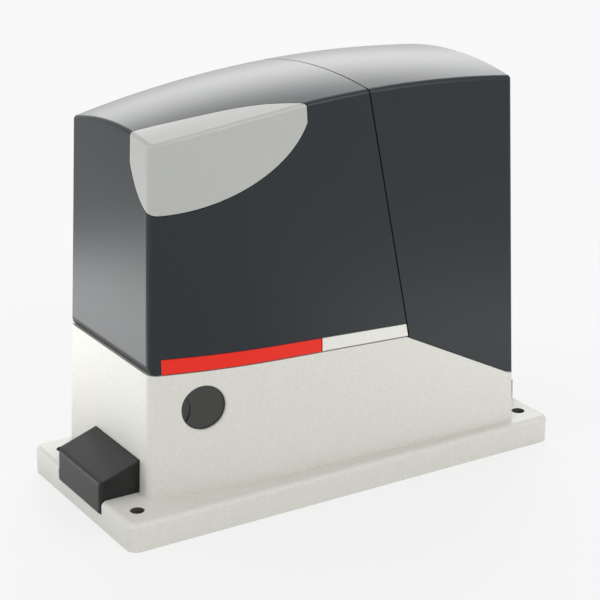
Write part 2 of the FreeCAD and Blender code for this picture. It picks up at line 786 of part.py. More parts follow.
def shaft_seal():
    y0 = body_back - 2 + bearing_width
    return cyl_y(axis_x, axis_z, shaft_radius + seal_width - 0.02, y0, nose_end - 0.4).cut(
        cyl_y(axis_x, axis_z, shaft_radius + 0.1, y0 - 1, nose_end + 1))


# -------------------------------------------------------------------- gearcase
def gearcase():
    chamber = wheel_module * (wheel_teeth / 2 + 1) + chamber_clearance
    skin = chamber + case_wall
    left = axis_x - skin
    profile = [(left, floor_thickness), (left, axis_z), (left + 8, axis_z + 21), (axis_x, case_top),
               (worm_x + case_reach, case_top), (worm_x + case_reach, floor_thickness)]
    case = prism_y(profile, case_front, case_back)
    case = rounded(case, 6.0, lambda m, d: abs(d.y) > 0.9 and m.z > axis_z - 5 and m.x < axis_x + 5)
    seat = box(worm_x - motor_radius, worm_x + motor_radius, wheel_y - motor_radius, wheel_y + motor_radius,
               case_top - motor_seat, case_top)
    case = case.fuse(rounded(seat, 10.0, lambda m, d: abs(d.z) > 0.9)).removeSplitter()
    cuts = [cyl_y(axis_x, axis_z, chamber, case_front - 1, wheel_y + wheel_width / 2 + 1.5),
            cyl_y(axis_x, axis_z, bearing_outer - 5, 0, case_back),
            cyl_y(axis_x, axis_z, bearing_outer, case_back - bearing_width, case_back + 1),
            cyl_z(worm_x, wheel_y, worm_radius + wheel_module + 1.5, worm_bottom + small_bearing_width,
                  case_top - small_bearing_width),
            cyl_z(worm_x, wheel_y, small_bearing_outer, worm_bottom,
                  worm_bottom + small_bearing_width + 0.1),
            cyl_z(worm_x, wheel_y, small_bearing_outer, case_top - small_bearing_width - 0.1, case_top + 1)]
    for x in (axis_x - 12, axis_x + 12):
        cuts.append(box(x - 9, x + 9, case_front - 1, case_back - 6, floor_thickness + 4,
                        floor_thickness + 30 - case_wall))
    cuts += [cyl_y(x, z, lid_screw + 0.05, case_front - 1, case_front + 6) for x, z in lid_screw_places()]
    cuts += [cyl_z(worm_x, wheel_y + side * motor_bolt_circle, motor_bolt + 0.05, 0, case_top + 1)
             for side in (-1, 1)]
    return case.cut(cuts)


def lid_screw_places():
    circle = wheel_module * (wheel_teeth / 2 + 1) + chamber_clearance + 2.0
    return [(axis_x + circle * math.cos(math.radians(45 + 90 * k)),
             axis_z + circle * math.sin(math.radians(45 + 90 * k))) for k in range(4)]


worm_bottom = axis_z - 3.0 * thread_pitch - small_bearing_width - 4


def gearcase_cover():
    chamber = wheel_module * (wheel_teeth / 2 + 1) + chamber_clearance
    y0 = case_front - case_lid
    lid = cyl_y(axis_x, axis_z, chamber + case_wall - 0.5, y0, case_front)
    holes = [cyl_y(x, z, lid_screw + 0.15, y0 - 1, case_front + 1) for x, z in lid_screw_places()]
    return lid.cut([cyl_y(axis_x, axis_z, clutch_radius + 2, y0 - 1, case_front + 1)] + holes)


def worm_shaft():
    """Motor shaft and single-start worm in one piece, about a vertical axis."""
    length = worm_turns * thread_pitch
    core_r = worm_radius - 1.2 * wheel_module
    start = axis_z - length / 2
    helix = Part.makeHelix(thread_pitch, length, core_r)
    half_root = thread_pitch / 4 + 0.30 * wheel_module - gear_backlash / 2
    half_tip = thread_pitch / 4 - 0.36 * wheel_module - gear_backlash / 2
    tip_r = worm_radius + 0.9 * wheel_module
    section = Part.makePolygon([Vector(core_r - 0.6, 0, -half_root), Vector(tip_r, 0, -half_tip),
                                Vector(tip_r, 0, half_tip), Vector(core_r - 0.6, 0, half_root),
                                Vector(core_r - 0.6, 0, -half_root)])
    sweep = Part.BRepOffsetAPI.MakePipeShell(Part.Wire(helix))
    sweep.setBiNormalMode(Vector(0, 0, 1))
    sweep.add(section)
    sweep.build()
    sweep.makeSolid()
    thread = sweep.shape()
    thread.translate(Vector(0, 0, start))
    core = Part.makeCylinder(core_r, length + 8, Vector(0, 0, start - 4))
    worm = core.fuse(thread)
    shaft_low = cyl_z(0, 0, motor_shaft, worm_bottom + 1, start - 3)
    shaft_up = cyl_z(0, 0, motor_shaft, start + length + 3, case_top + motor_flange + motor_height + 10)
    worm = joined([worm, shaft_low, shaft_up])
    worm.rotate(Vector(0, 0, 0), Vector(0, 0, 1), worm_phase)
    worm.translate(Vector(worm_x, wheel_y, 0))
    return worm


worm_phase = 0.0


def gearcase_screws():
    group = []
    for x, z in lid_screw_places():
        one = screw(lid_screw, case_lid + 4.0, 2.6, 2.0, 1.2)
        one.rotate(Vector(0, 0, 0), Vector(1, 0, 0), 90)
        one.translate(Vector(x, case_front - case_lid, z))
        group.append(one)
    return Part.makeCompound(group)


# ----------------------------------------------------------------------- motor
motor_low = case_top + motor_flange
motor_high = motor_low + motor_height


def motor_can():
    can = Part.makeCylinder(motor_radius, motor_height, Vector(0, 0, motor_low))
    can = can.cut(Part.makeCylinder(motor_radius - motor_wall, motor_height, Vector(0, 0, motor_low)))
    flange = Part.makeCylinder(motor_radius, motor_flange, Vector(0, 0, case_top))
    flange = flange.cut(Part.makeCylinder(small_bearing_outer - 3, 20, Vector(0, 0, case_top - 5)))
    flange = flange.cut([cyl_z(0, side * motor_bolt_circle, motor_bolt + 0.05, 0, 300) for side in (-1, 1)])
    can = joined([can, flange])
    can.translate(Vector(worm_x, wheel_y, 0))
    return can


def motor_magnets():
    ring = Part.makeCylinder(motor_radius - motor_wall - 0.05, rotor_height + 6,
                             Vector(0, 0, motor_low + 12))
    ring = ring.cut(Part.makeCylinder(motor_radius - motor_wall - magnet_thickness, 200))
    halves = []
    for side in (-1, 1):
        ends = sorted((side * 6.0, side * 50.0))
        halves.append(ring.common(box(ends[0], ends[1], -60, 60, 0, 400)))
    group = Part.makeCompound(halves)
    group.translate(Vector(worm_x, wheel_y, 0))
    return group


def rotor_core():
    """Slotted lamination stack on the worm shaft."""
    radius = motor_radius - motor_wall - magnet_thickness - air_gap
    core = Part.makeCylinder(radius, rotor_height, Vector(0, 0, motor_low + 15))
    core = core.cut(Part.makeCylinder(motor_shaft + 0.02, 300))
    for k in range(8):
        slot = box(radius - 8, radius + 1, -2.5, 2.5, motor_low, motor_low + 80)
        slot.rotate(Vector(0, 0, 0), Vector(0, 0, 1), 45 * k)
        core = core.cut(slot)
    core.translate(Vector(worm_x, wheel_y, 0))
    return core


def commutator():
    z0 = motor_low + 15 + rotor_height + 5
    return cyl_z(worm_x, wheel_y, commutator_radius, z0, z0 + commutator_height).cut(
        cyl_z(worm_x, wheel_y, motor_shaft + 0.02, z0 - 1, z0 + 30))


def motor_end_bell():
    bell = Part.makeCylinder(motor_radius, end_bell_height, Vector(0, 0, motor_high))
    bell = bevelled(bell, 3.0, lambda m: m.z > motor_high + end_bell_height - 0.01)
    bell = bell.cut(Part.makeCylinder(motor_radius - end_bell_wall, 3, Vector(0, 0, motor_high)))
    bell = bell.cut(Part.makeCylinder(small_bearing_outer, small_bearing_width,
                                      Vector(0, 0, motor_high + 3)))
    bell = bell.cut([cyl_z(0, side * motor_bolt_circle, motor_bolt + 0.2, 0, 300) for side in (-1, 1)])
    bell.translate(Vector(worm_x, wheel_y, 0))
    return bell


def motor_bearings():
    group = []
    for z in (worm_bottom, case_top - small_bearing_width, motor_high + 3):
        one = bearing(small_bearing_outer - 0.02, motor_shaft + running_clearance, small_bearing_width)
        one.translate(Vector(worm_x, wheel_y, z))
        group.append(one)
    return Part.makeCompound(group)


def brush_gear():
    z0 = motor_low + 15 + rotor_height + 7
    ring = cyl_z(worm_x, wheel_y, motor_radius - motor_wall - 0.05, z0 + 3, z0 + 6).cut(
        cyl_z(worm_x, wheel_y, commutator_radius + 3, z0, z0 + 9))
    ring = ring.cut([cyl_z(worm_x, wheel_y + side * motor_bolt_circle, motor_bolt + 0.2, z0, z0 + 9)
                     for side in (-1, 1)])
    brushes = [ring]
    for side in (-1, 1):
        ends = sorted((side * (commutator_radius + 0.3), side * (commutator_radius + 14)))
        brushes.append(box(worm_x - 3.5, worm_x + 3.5, wheel_y + ends[0], wheel_y + ends[1], z0, z0 + 9))
    return joined(brushes)


def motor_screws():
    group = []
    for side in (-1, 1):
        one = screw(motor_bolt, end_bell_height + motor_height + motor_flange + motor_seat, 3.2, 2.5, 1.5)
        one.translate(Vector(worm_x, wheel_y + side * motor_bolt_circle, motor_high + end_bell_height))
        group.append(one)
    return Part.makeCompound(group)


# ----------------------------------------------------------------- electronics
def transformer_core():
    x0, y0, z0 = core_x - core_length / 2, core_y - core_depth / 2, floor_thickness
    stack = box(x0, x0 + core_length, y0, y0 + core_depth, z0, z0 + core_height)
    limb = core_length / 6
    for x in (x0 + limb, x0 + 3.5 * limb + limb / 2):
        stack = stack.cut(box(x, x + limb, y0 - 1, y0 + core_depth + 1, z0 + limb, z0 + core_height - limb))
    return stack


def transformer_coil():
    limb = core_length / 6
    x0, z0 = core_x - core_length / 2, floor_thickness
    low, high = z0 + limb + 0.2, z0 + core_height - limb - 0.2
    coil = box(x0 + limb + 0.2, x0 + 5 * limb - 0.2, core_y - core_depth / 2 - coil_overhang,
               core_y + core_depth / 2 + coil_overhang, low, high)
    coil = rounded(coil, 5.0, lambda m, d: abs(d.z) > 0.9)
    return coil.cut(box(x0 + 2 * limb - 0.2, x0 + 4 * limb + 0.2, core_y - core_depth / 2 - 0.2,
                        core_y + core_depth / 2 + 0.2, low - 1, high + 1))


def control_tray():
    x0, x1, y0, y1 = tray_x[0], tray_x[1], tray_y[0], tray_y[1]
    tray = box(x0, x1, y0, y1, post_height, post_height + tray_height)
    tray = rounded(tray, 4.0, lambda m, d: abs(d.z) > 0.9)
    tray = tray.cut(box(x0 + tray_wall, x1 - tray_wall, y0 + tray_wall, y1 - tray_wall,
                        post_height + tray_wall, post_height + tray_height + 1))
    studs = [cyl_z(x, y, 3.0, post_height + tray_wall - 0.5, post_height + board_lift)
             for x in (x0 + 18, x1 - 18) for y in (y0 + 18, y1 - 18)]
    tray = joined([tray] + studs)
    return tray.cut([cyl_z(x, y, tray_screw_radius + 0.4, post_height - 1, post_height + 10)
                     for x, y in tray_screw_places()])


def tray_screw_places():
    return [(x, y) for x in (tray_x[0] + tray_screw_inset, tray_x[1] - tray_screw_inset)
            for y in (tray_y[0] + tray_screw_inset, tray_y[1] - tray_screw_inset)]


def tray_screws():
    group = []
    for x, y in tray_screw_places():
        one = screw(tray_screw_radius, 10.0, 3.2, 2.0, 1.2)
        one.translate(Vector(x, y, post_height + tray_wall))
        group.append(one)
    return Part.makeCompound(group)


board_low = post_height + board_lift
board_top = board_low + board_thickness


def control_board():
    return box(tray_x[0] + 3, tray_x[1] - 3, tray_y[0] + 14, tray_y[1] - 14, board_low, board_top)


def terminal_blocks():
    group = []
    for y in (tray_y[0] + 16, tray_y[0] + 32, tray_y[0] + 48):
        block = box(tray_x[1] - 16, tray_x[1] - 5, y, y + 14, board_top, board_top + 10)
        for k in range(3):
            block = block.cut(cyl_z(tray_x[1] - 10, y + 2.6 + 4.4 * k, 1.5, board_top + 6, board_top + 12))
        group.append(block)
    return Part.makeCompound(group)


def relays():
    return Part.makeCompound([box(tray_x[0] + 8, tray_x[0] + 27, y, y + 15, board_top, board_top + 15)
                              for y in (tray_y[0] + 18, tray_y[0] + 36)])


def capacitors():
    group = []
    for x, y in ((tray_x[0] + 14, tray_y[1] - 30), (tray_x[0] + 30, tray_y[1] - 24)):
        can = cyl_z(x, y, 6.0, board_top, board_top + 20)
        group.append(bevelled(can, 0.8, lambda m: m.z > board_top + 19.9))
    return Part.makeCompound(group)


def radio_card():
    return box(tray_x[0] + 34, tray_x[0] + 37, tray_y[0] + 20, tray_y[0] + 50, board_top, board_top + 16)


button_y = (tray_y[1] - 34, tray_y[1] - 27, tray_y[1] - 20)


def button_housings():
    x = tray_x[1] - 26
    return Part.makeCompound([box(x - 3, x + 3, y - 3, y + 3, board_top, board_top + 3.5).cut(
        cyl_z(x, y, 1.85, board_top + 1, board_top + 5)) for y in button_y])


def control_button(y):
    x = tray_x[1] - 26
    return cyl_z(x, y, 1.75, board_top + 1 + button_travel + 0.1, board_top + 6.0)


def cable_grommet():
    ring = cyl_z(grommet_x, grommet_y, grommet_hole + 2.5, floor_thickness, floor_thickness + 2.5)
    neck = cyl_z(grommet_x, grommet_y, grommet_hole - 0.05, 1.0, floor_thickness + 1)
    return joined([ring, neck]).cut(cyl_z(grommet_x, grommet_y, grommet_bore, 0, floor_thickness + 10))


# ---------------------------------------------------------------- limit switch
def limit_switch():
    y0 = back_at(limit_z - limit_body[2] / 2) + 0.2
    block = box(limit_x - limit_body[0] / 2, limit_x + limit_body[0] / 2, y0, y0 + limit_body[1],
                limit_z - limit_body[2] / 2, limit_z + limit_body[2] / 2 - 10)
    block = rounded(block, 3.0, lambda m, d: abs(d.y) > 0.9)
    return block.fuse(cyl_y(limit_x, limit_z, 2.4, y0 + 1, y0 + limit_body[1] + 7))


def limit_lever():
    y0 = back_at(limit_z - limit_body[2] / 2) + 0.2 + limit_body[1] + 0.4
    hub = cyl_y(limit_x, limit_z, lever_hub, y0, y0 + 6)
    rod = cyl_z(limit_x, y0 + 3, lever_radius, limit_z + lever_hub - 2, limit_z + lever_length)
    tip = Part.makeSphere(3.5, Vector(limit_x, y0 + 3, limit_z + lever_length))
    return joined([hub, rod, tip]).cut(cyl_y(limit_x, limit_z, 2.45, y0 - 1, y0 + 8))


# --------------------------------------------------------------------- hand out
shell = cover_shell()
write(base_housing(), "base_housing")
write(left_cover(shell), "left_cover")
write(right_cover(shell), "right_cover")
write(corner_insert(), "corner_insert")
write(strip_piece(strip_left, strip_split, False), "red_label")
write(strip_piece(strip_split + strip_break, seam_foot_x + 20, True), "trim_strip")
write(anchor_cover(-1), "anchor_cover_left")
write(anchor_cover(1), "anchor_cover_right")
for piece in (levelling_screws, cover_screws, lock_shutter, lock_plate, release_barrel,
              release_yoke, clutch_slider, output_shaft, worm_wheel, drive_pinion, pinion_key,
              pinion_washer, pinion_screw, output_bearings, shaft_seal, gearcase, gearcase_cover,
              gearcase_screws, worm_shaft,
              motor_can, motor_magnets, rotor_core, commutator, motor_end_bell, motor_bearings,
              brush_gear, motor_screws, transformer_core, transformer_coil, control_tray,
              tray_screws, control_board, terminal_blocks, relays, capacitors, radio_card,
              button_housings, cable_grommet, limit_switch, limit_lever):
    write(piece(), piece.__name__)
for name, y in zip(("button_open", "button_stop", "button_close"), button_y):
    write(control_button(y), name)
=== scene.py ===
import math

import bmesh
import bpy
from mathutils import Matrix, Vector


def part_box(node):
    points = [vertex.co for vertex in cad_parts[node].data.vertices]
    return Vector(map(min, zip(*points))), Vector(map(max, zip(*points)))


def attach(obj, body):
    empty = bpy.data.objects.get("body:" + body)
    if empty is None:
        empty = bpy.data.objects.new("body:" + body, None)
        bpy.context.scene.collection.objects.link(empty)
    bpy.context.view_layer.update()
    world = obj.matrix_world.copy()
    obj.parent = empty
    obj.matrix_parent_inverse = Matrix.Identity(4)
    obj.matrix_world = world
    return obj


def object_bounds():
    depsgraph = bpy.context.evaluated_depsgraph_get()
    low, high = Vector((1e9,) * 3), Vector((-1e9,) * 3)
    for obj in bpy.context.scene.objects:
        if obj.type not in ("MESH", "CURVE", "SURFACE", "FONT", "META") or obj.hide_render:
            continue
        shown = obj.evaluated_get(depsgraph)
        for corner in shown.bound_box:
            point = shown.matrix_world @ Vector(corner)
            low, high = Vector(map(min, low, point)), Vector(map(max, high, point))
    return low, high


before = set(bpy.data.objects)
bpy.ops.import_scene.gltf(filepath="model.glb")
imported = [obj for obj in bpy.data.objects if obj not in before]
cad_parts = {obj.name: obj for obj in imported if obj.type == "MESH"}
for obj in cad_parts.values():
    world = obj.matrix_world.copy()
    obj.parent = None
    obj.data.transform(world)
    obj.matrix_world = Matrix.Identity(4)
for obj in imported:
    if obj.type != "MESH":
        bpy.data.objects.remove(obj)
cad_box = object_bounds()

bl_info = {
    "name": "Sliding Gate Motor",
    "version": (1, 0, 0),
    "blender": (4, 5, 0),
    "location": "3D Viewport > Sidebar > Gate Motor",
    "description": "Finishes, small fittings and a plain studio for a sliding gate motor",
    "category": "Object",
}

NOISE_LOW, NOISE_HIGH = 0.3, 0.7        # most of a noise texture's values lie between these
NEUTRAL_GRAIN = (1.0, 1.0, 1.0)         # tool marks with no direction
ALONG_Y = (1.0, 0.06, 1.0)              # tool marks drawn out along the output shaft
ALONG_Z = (1.0, 1.0, 0.06)              # and along the upright worm shaft
WIRE_FACETS = 8
STEPS_PER_TURN = 20


# ------------------------------------------------------------------ properties
def tint(name, description, default):
    return bpy.props.FloatVectorProperty(
        name=name, description=description, default=default, size=3,
        min=0.0, max=1.0, subtype="COLOR")


def distance(name, description, default):
    return bpy.props.FloatProperty(
        name=name, description=description, default=default, min=0.0,
        unit="LENGTH", subtype="DISTANCE")


def amount(name, description, default, low=0.0, high=1.0):
    return bpy.props.FloatProperty(
        name=name, description=description, default=default, min=low, max=high,
        subtype="FACTOR")


def light_power(name, description, default):
    return bpy.props.FloatProperty(
        name=name, description=description, default=default, min=0.0, subtype="POWER")


class GateMotorFinishes(bpy.types.PropertyGroup):
    base_paint: tint("Base paint", "Warm grey paint on the base casting", (0.69, 0.685, 0.635))
    cover: tint("Cover plastic", "Dark plastic of the two covers", (0.0135, 0.0180, 0.0220))
    insert: tint("Insert plastic", "Light grey plastic of the corner insert", (0.46, 0.47, 0.45))
    trim: tint("Trim plastic", "Light plastic of the trim strip", (0.78, 0.78, 0.72))
    label: tint("Label", "Red of the bare label", (0.82, 0.018, 0.006))
    anchor: tint("Anchor cover plastic", "Dark plastic over the anchor bolts",
                 (0.009, 0.009, 0.009))
    shutter: tint("Shutter plastic", "Dark plastic of the lock shutter", (0.022, 0.022, 0.020))
    steel: tint("Turned steel", "Pinion, shafts and clutch", (0.50, 0.50, 0.51))
    zinc: tint("Zinc plate", "Screws, washers and yoke", (0.46, 0.47, 0.49))
    bronze: tint("Bronze", "Worm wheel", (0.60, 0.37, 0.15))
    copper: tint("Copper", "Winding and commutator", (0.55, 0.22, 0.10))
    aluminium: tint("Cast aluminium", "Gearcase and end bell", (0.55, 0.56, 0.57))
    iron: tint("Dark iron", "Motor can, magnets and laminations", (0.055, 0.055, 0.06))
    # rubber is also the colour of the painted shade on the base's lip
    rubber: tint("Rubber", "Seals and grommet", (0.018, 0.018, 0.018))
    # also the dark colour of the drilled holes' walls, painted shade inside them
    screw_iron_and_hole_shade: tint("Bare iron", "Drilled holes and levelling screws", (0.10, 0.095, 0.085))
    board: tint("Circuit board", "Board and radio card", (0.015, 0.13, 0.05))
    terminal: tint("Terminals", "Screw terminals", (0.03, 0.24, 0.10))
    inner: tint("Inner plastic", "Tray, lock plate and button caps", (0.16, 0.16, 0.165))
    black: tint("Black parts", "Relays, capacitors and switch housings", (0.02, 0.02, 0.022))


class GateMotorSizes(bpy.types.PropertyGroup):
    # the base's lip above these sloping lines is painted dark: painted shade in the gap under the
    # covers
    parting_foot_x: distance("Seam foot, along", "Where the covers' seam meets the base", 0.0493)
    parting_foot_z: distance("Seam foot, height", "Height of the base under the seam", 0.09705)
    parting_left_slope: bpy.props.FloatProperty(
        name="Left slope", description="Rise of the base's top edge left of the seam",
        default=-0.0241, precision=4)
    parting_right_slope: bpy.props.FloatProperty(
        name="Right slope", description="Rise of the base's top edge right of the seam",
        default=-0.4983, precision=4)
    # inside the holes at these places the colour is painted dark: painted shade
    levelling_x: distance("Levelling holes, along", "Distance of the holes from the middle", 0.151)
    levelling_y: distance("Levelling holes, across", "Distance of the holes from the middle",
                          0.055)
    levelling_radius: distance("Levelling hole", "Radius of the bare drilled hole", 0.00465)
    spring_wire: distance("Spring wire", "Radius of the limit lever's spring wire", 0.0006)
    spring_radius: distance("Spring radius", "Radius of the coil about the lever's rod", 0.0028)
    spring_foot: distance("Spring foot", "Height of the coil's foot above the lever's underside",
                          0.0125)
    spring_pitch: distance("Spring pitch", "Rise of the lever's spring for each turn", 0.0021)
    spring_turns: bpy.props.IntProperty(
        name="Spring turns", description="Turns of the lever's spring", default=13, min=1)


class GateMotorStudio(bpy.types.PropertyGroup):
    key: light_power("Left light", "Power of the soft light on the left", 4.3)
    front: light_power("Front light", "Power of the soft light in front", 10.8)
    top: light_power("Top light", "Power of the soft light overhead", 5.5)
    back: light_power("Back light", "Power of the soft light behind, seen in the tops", 12.5)
    bounce: light_power("Bounce light", "Power of the low light at the left end", 1.10)
    front_bounce: light_power("Front bounce", "Power of the low light in front", 0.22)
    floor_reach: distance("Floor reach", "Half the side of the floor", 6.0)
    shadow_reach: distance("Shadow reach", "How far out the floor keeps its shadow", 0.28)
    shadow_fade: amount("Shadow fade", "Where the fade ends, as a multiple of its start", 2.2,
                        1.0, 10.0)
    floor_glow: amount("Floor glow", "Share of plain white in the floor near the motor", 0.75)
    world_level: amount("Room light", "Strength of the white room where it isn't seen", 0.45)
    lens: bpy.props.FloatProperty(
        name="Lens", description="Focal length of the camera in millimetres", default=108.0,
        min=1.0, subtype="DISTANCE_CAMERA")


# ------------------------------------------------------------- material helpers
class Recipe:
    """A node material under construction, on the object's own coordinates."""

    def __init__(self, name, colour, roughness, metallic=0.0):
        self.material = bpy.data.materials.new(name)
        self.material.use_nodes = True
        self.tree = self.material.node_tree
        self.shader = self.tree.nodes["Principled BSDF"]
        self.place = self.tree.nodes.new("ShaderNodeTexCoord").outputs["Object"]
        self.shader.inputs["Metallic"].default_value = metallic
        self.shader.inputs["Base Color"].default_value = (*colour, 1.0)
        self.shader.inputs["Roughness"].default_value = roughness
        self.colour = tuple(colour)
        self.roughness = roughness
        self.material.diffuse_color = (*colour, 1.0)

    def node(self, kind, **sockets):
        made = self.tree.nodes.new(kind)
        for name, value in sockets.items():
            socket = made.inputs[name.replace("_", " ")]
            if isinstance(value, bpy.types.NodeSocket):
                self.tree.links.new(value, socket)
            else:
                socket.default_value = value
        return made

    def stretched(self, scale):
        """The object's coordinates, drawn out along an axis by a small scale on it."""
        return self.node("ShaderNodeMapping", Vector=self.place, Scale=scale).outputs["Vector"]

    def noise(self, scale, detail=2.0, where=None):
        made = self.node("ShaderNodeTexNoise", Vector=where or self.place, Scale=scale,
                         Detail=detail)
        return made.outputs["Fac"]

    def between(self, value, low, high):
        """Spread a noise value smoothly over the range from low to high."""
        made = self.node("ShaderNodeMapRange", Value=value, From_Min=NOISE_LOW,
                         From_Max=NOISE_HIGH, To_Min=low, To_Max=high)
        made.interpolation_type = "SMOOTHSTEP"
        return made.outputs["Result"]

    def mottle(self, value, spread):
        """Vary the colour a little to each side of its own value."""
        mix = self.tree.nodes.new("ShaderNodeMix")
        mix.data_type = "RGBA"
        self.tree.links.new(self.between(value, 0.0, 1.0), mix.inputs["Factor"])
        dark, light = 1.0 - spread, 1.0 + spread
        mix.inputs["A"].default_value = (*[c * dark for c in self.colour], 1.0)
        mix.inputs["B"].default_value = (*[min(c * light, 1.0) for c in self.colour], 1.0)
        self.tree.links.new(mix.outputs["Result"], self.shader.inputs["Base Color"])
        return mix

    def patchy(self, value, spread):
        """Vary the roughness a little to each side of its own value."""
        low, high = self.roughness - spread, self.roughness + spread
        self.tree.links.new(self.between(value, low, high), self.shader.inputs["Roughness"])

    def maths(self, operation, first, second=0.0):
        made = self.tree.nodes.new("ShaderNodeMath")
        made.operation = operation
        for socket, value in zip(made.inputs, (first, second)):
            if isinstance(value, bpy.types.NodeSocket):
                self.tree.links.new(value, socket)
            else:
                socket.default_value = value
        return made.outputs["Value"]

    def mixed(self, share, under, colour):
        """Lay a colour over what is under it, by a share from 0 to 1."""
        mix = self.tree.nodes.new("ShaderNodeMix")
        mix.data_type = "RGBA"
        self.tree.links.new(share, mix.inputs["Factor"])
        self.tree.links.new(under, mix.inputs["A"])
        mix.inputs["B"].default_value = (*colour, 1.0)
        return mix.outputs["Result"]

    def relief(self, height, depth, strength=1.0, under=None):
        """Raise the surface by a height map, on top of another normal if there is one."""
        bump = self.node("ShaderNodeBump", Height=height, Distance=depth, Strength=strength)
        if under:
            self.tree.links.new(under.outputs["Normal"], bump.inputs["Normal"])
        self.tree.links.new(bump.outputs["Normal"], self.shader.inputs["Normal"])
        return bump


def seen_directly(tree):
    """1 on camera, glossy and transmission rays, 0 on all others."""
    path = tree.nodes.new("ShaderNodeLightPath")
    seen = path.outputs["Is Camera Ray"]
    for ray in ("Is Glossy Ray", "Is Transmission Ray"):
        either = tree.nodes.new("ShaderNodeMath")
        either.operation = "MAXIMUM"
        tree.links.new(seen, either.inputs[0])
        tree.links.new(path.outputs[ray], either.inputs[1])
        seen = either.outputs["Value"]
    return seen


def give(material, *nodes):
    """Put one material on these CAD nodes."""
    for name in nodes:
        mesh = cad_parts[name].data
        mesh.materials.clear()
        mesh.materials.append(material)


def moulded(name, colour, roughness, grain=2200.0, depth=0.00004, specular=0.5, edge=0.0):
    """Injection-moulded plastic with a fine spark-eroded skin and, if asked, softened edges."""
    recipe = Recipe(name, colour, roughness)
    recipe.mottle(recipe.noise(grain / 4), spread=0.012)
    soft = recipe.node("ShaderNodeBevel", Radius=edge) if edge else None
    recipe.relief(recipe.noise(grain), depth, strength=0.25, under=soft)
    recipe.shader.inputs["Specular IOR Level"].default_value = specular
    return recipe.material


def turned(name, colour, roughness, stretch, grain):
    """Metal with fine tool marks drawn out along one axis."""
    recipe = Recipe(name, colour, roughness, 1.0)
    marks = recipe.noise(grain, detail=3.0, where=recipe.stretched(stretch))
    recipe.mottle(recipe.noise(40.0, detail=4.0), spread=0.10)
    recipe.patchy(marks, spread=0.10)
    recipe.relief(marks, depth=0.00003, strength=0.5)
    return recipe.material


def cast(name, colour, roughness, metallic, grain=900.0):
    """Grainy casting skin."""
    recipe = Recipe(name, colour, roughness, metallic)
    recipe.mottle(recipe.noise(55.0, detail=5.0), spread=0.12)
    recipe.patchy(recipe.noise(140.0, detail=3.0), spread=0.08)
    recipe.relief(recipe.noise(grain, detail=4.0), depth=0.00012, strength=0.6)
    return recipe.material


# ---------------------------------------------------------------- mesh helpers
def piece_from(mesh_builder, name, material, body):
    """Turn a finished bmesh into a piece that rides on a body."""
    bmesh.ops.recalc_face_normals(mesh_builder, faces=mesh_builder.faces)
    mesh = bpy.data.meshes.new(name)
    mesh_builder.to_mesh(mesh)
    mesh_builder.free()
    for polygon in mesh.polygons:
        polygon.use_smooth = True
    mesh.materials.append(material)
    piece = bpy.data.objects.new(name, mesh)
    bpy.context.scene.collection.objects.link(piece)
    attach(piece, body)
    return piece


# ------------------------------------------------------------------- operators
class PaintBase(bpy.types.Operator):
    """Orange-peel paint, lighter flecks as painted glints, painted shade in the holes and on the
    lip
    """
    bl_idname = "gatemotor.paint_base"
    bl_label = "Paint the base"

    def parting(self, recipe, x, sizes, slope):
        """Height of a sloping line through the foot of the covers' seam, above each x."""
        along = recipe.maths("SUBTRACT", x, sizes.parting_foot_x)
        return recipe.maths("ADD", recipe.maths("MULTIPLY", along, slope), sizes.parting_foot_z)

    def execute(self, context):
        finishes = context.scene.gate_motor_finishes
        sizes = context.scene.gate_motor_sizes
        colour = finishes.base_paint
        recipe = Recipe("base_paint", colour, 0.42)
        # lighter flecks in the paint colour: painted glints standing in for the sparkle of grazing
        # light
        flecks = recipe.node("ShaderNodeTexVoronoi", Vector=recipe.place, Scale=1500.0)
        glint_share = recipe.node("ShaderNodeMapRange", Value=flecks.outputs["Color"],
                             From_Min=0.55, From_Max=0.95, To_Min=0.0, To_Max=1.0)
        mottled = recipe.mottle(recipe.noise(700.0, detail=4.0), spread=0.03)
        painted_glints = recipe.mixed(glint_share.outputs["Result"], mottled.outputs["Result"],
                               [min(c * 1.10, 1.0) for c in colour])

        # the lip above the parting line is painted dark in the rubber colour: painted shade in the
        # gap between cover and base
        x, y, z = recipe.node("ShaderNodeSeparateXYZ", Vector=recipe.place).outputs
        edge = recipe.maths("MINIMUM", self.parting(recipe, x, sizes, sizes.parting_left_slope),
                            self.parting(recipe, x, sizes, sizes.parting_right_slope))
        lip_painted_shade = recipe.mixed(recipe.maths("GREATER_THAN", z, edge), painted_glints, finishes.rubber)

        # the four levelling holes are drilled through the paint; their walls are painted dark,
        # painted shade inside the holes
        squares = []
        for value, centre in ((x, sizes.levelling_x), (y, sizes.levelling_y)):
            away = recipe.maths("SUBTRACT", recipe.maths("ABSOLUTE", value), centre)
            squares.append(recipe.maths("MULTIPLY", away, away))
        reach = recipe.maths("SQRT", recipe.maths("ADD", *squares))
        drilled = recipe.maths("LESS_THAN", reach, sizes.levelling_radius)
        bare = recipe.mixed(drilled, lip_painted_shade, finishes.screw_iron_and_hole_shade)
        recipe.tree.links.new(bare, recipe.shader.inputs["Base Color"])

        recipe.patchy(recipe.noise(420.0, detail=3.0), spread=0.05)
        peel = recipe.relief(recipe.noise(330.0), depth=0.00016, strength=0.5)
        recipe.relief(recipe.noise(1400.0), depth=0.00005, strength=0.4, under=peel)
        give(recipe.material, "base_housing")
        return {"FINISHED"}


class DressCovers(bpy.types.Operator):
    """Dark semi-gloss plastic on the two covers"""
    bl_idname = "gatemotor.dress_covers"
    bl_label = "Finish the covers"

    def execute(self, context):
        finishes = context.scene.gate_motor_finishes
        skin = moulded("cover_plastic", finishes.cover, roughness=0.31, grain=2600.0,
                       depth=0.00002, specular=0.30)
        give(skin, "left_cover", "right_cover")
        return {"FINISHED"}


